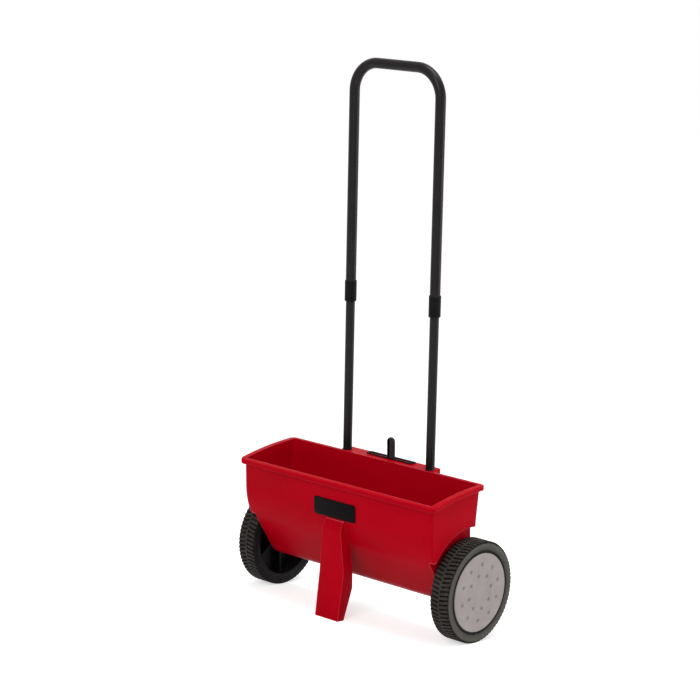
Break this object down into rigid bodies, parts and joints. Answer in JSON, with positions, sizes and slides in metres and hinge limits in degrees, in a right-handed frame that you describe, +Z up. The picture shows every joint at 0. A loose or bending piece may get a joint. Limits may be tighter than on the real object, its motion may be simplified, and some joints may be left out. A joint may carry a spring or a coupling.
{
  "type": "drop spreader",
  "caption": "Garden drop spreader: a trough hopper on wheels with a push handle, a front parking stand and a dosing lever that works a metering slide under the outlet slots.",
  "frame": {"origin": "on the ground, under the middle of the machine's bounding box, as it stands parked on its wheels and its front stand", "axes": "+Z up; +Y from the open front of the hopper to the side of the handle and the lever, so a user behind it walks towards -Y; +X along the axle, to the right in the picture"},
  "size_m": [0.545, 0.243, 1.0875],
  "materials": {
    "red_plastic": "satin moulded red plastic",
    "black_plastic": "matte moulded black plastic",
    "tyre_rubber": "dull black tyre with a cross-grooved tread",
    "grey_plastic": "light grey moulded plastic",
    "black_paint": "black powder-coated steel tube",
    "zinc_steel": "zinc-plated steel",
    "bush_plastic": "natural white bearing plastic"
  },
  "bodies": {
    "hopper": {"hopper": "red_plastic", "parking_stand": "red_plastic", "stand_screw_left": "zinc_steel", "stand_screw_right": "zinc_steel", "stand_nut_left": "zinc_steel", "stand_nut_right": "zinc_steel", "name_plate": "black_plastic", "lever_guide": "black_plastic", "guide_screw_left": "zinc_steel", "guide_screw_right": "zinc_steel", "lever_pivot_screw": "zinc_steel", "lever_washer": "zinc_steel", "axle_bush_left": "bush_plastic", "axle_bush_right": "bush_plastic", "lower_tube_left": "black_paint", "lower_tube_right": "black_paint", "upper_handle": "black_paint", "joint_sleeve_left": "black_plastic", "joint_sleeve_right": "black_plastic", "joint_screw_left": "zinc_steel", "joint_screw_right": "zinc_steel", "handle_bolt_left": "zinc_steel", "handle_bolt_right": "zinc_steel", "handle_nut_left": "zinc_steel", "handle_nut_right": "zinc_steel"},
    "axle": {"axle": "zinc_steel", "agitator": "black_plastic", "agitator_pin": "zinc_steel", "drive_pin": "zinc_steel", "split_pin": "zinc_steel", "axle_washer": "zinc_steel", "wheel_rim_right": "black_plastic", "tyre_right": "tyre_rubber", "hub_cap_right": "grey_plastic"},
    "left_wheel": {"wheel_rim_left": "black_plastic", "tyre_left": "tyre_rubber", "hub_cap_left": "grey_plastic"},
    "lever": {"dosing_lever": "black_plastic"},
    "slide": {"metering_slide": "black_plastic"}
  },
  "joints": [
    {"name": "axle_spin", "type": "hinge", "parent": "hopper", "child": "axle", "pos_m": [0, 0.02148, 0.1], "axis": [1, 0, 0], "continuous": true},
    {"name": "left_wheel_spin", "type": "hinge", "parent": "hopper", "child": "left_wheel", "pos_m": [0, 0.02148, 0.1], "axis": [1, 0, 0], "continuous": true},
    {"name": "lever_swing", "type": "hinge", "parent": "hopper", "child": "lever", "pos_m": [0, 0.07767, 0.1167], "axis": [0, 0.9897, 0.1429], "range_deg": [-12, 12]},
    {"name": "slide_travel", "type": "slide", "parent": "hopper", "child": "slide", "axis": [1, 0, 0], "range_m": [-0.0081, 0.0081]}
  ],
  "couplings": [
    {"joint": "slide_travel", "follows": "lever_swing", "m_per_rad": -0.038}
  ]
}
